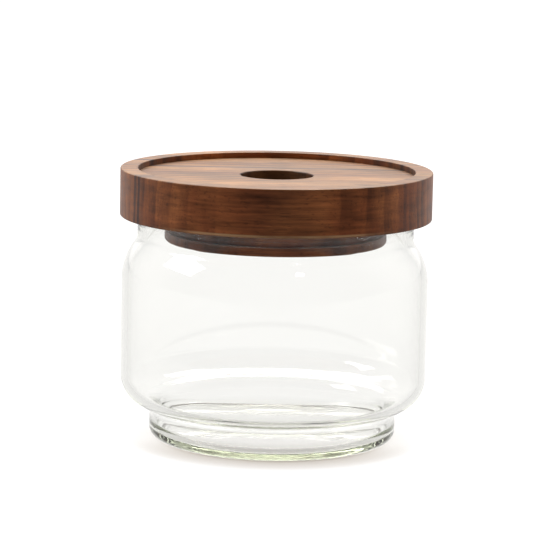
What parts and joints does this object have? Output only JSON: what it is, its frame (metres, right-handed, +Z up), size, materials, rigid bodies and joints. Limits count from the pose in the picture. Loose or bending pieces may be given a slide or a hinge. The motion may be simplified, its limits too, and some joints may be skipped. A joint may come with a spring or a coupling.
{
  "type": "lidded glass canister",
  "caption": "Round clear glass storage jar on a stacking foot, with a recessed hardwood plug lid, a finger hole and a clear sealing ring.",
  "frame": {"origin": "centre of the base, on the surface the jar stands on", "axes": "+Z up along the jar's axis, +X along the grain of the lid, +Y away from the viewer"},
  "size_m": [0.1014, 0.1014, 0.0884],
  "materials": {
    "clear_glass": "clear and glossy, faintly green at the thick edges",
    "lid_wood": "oiled hardwood, satin, straight brown grain",
    "plug_wood": "oiled hardwood, satin, darker brown grain",
    "clear_silicone": "clear soft silicone, slightly milky"
  },
  "bodies": {
    "jar": {"glass_jar": "clear_glass"},
    "seal": {"seal_ring": "clear_silicone"},
    "lid": {"lid_disc": "lid_wood", "lid_plug": "plug_wood"}
  },
  "joints": [
    {"name": "lid_lift", "type": "slide", "parent": "jar", "child": "seal", "axis": [0, 0, 1], "range_m": [0, 0.1]},
    {"name": "lid_turn", "type": "hinge", "parent": "seal", "child": "lid", "pos_m": [0, 0, 0.073], "axis": [0, 0, 1], "continuous": true}
  ]
}
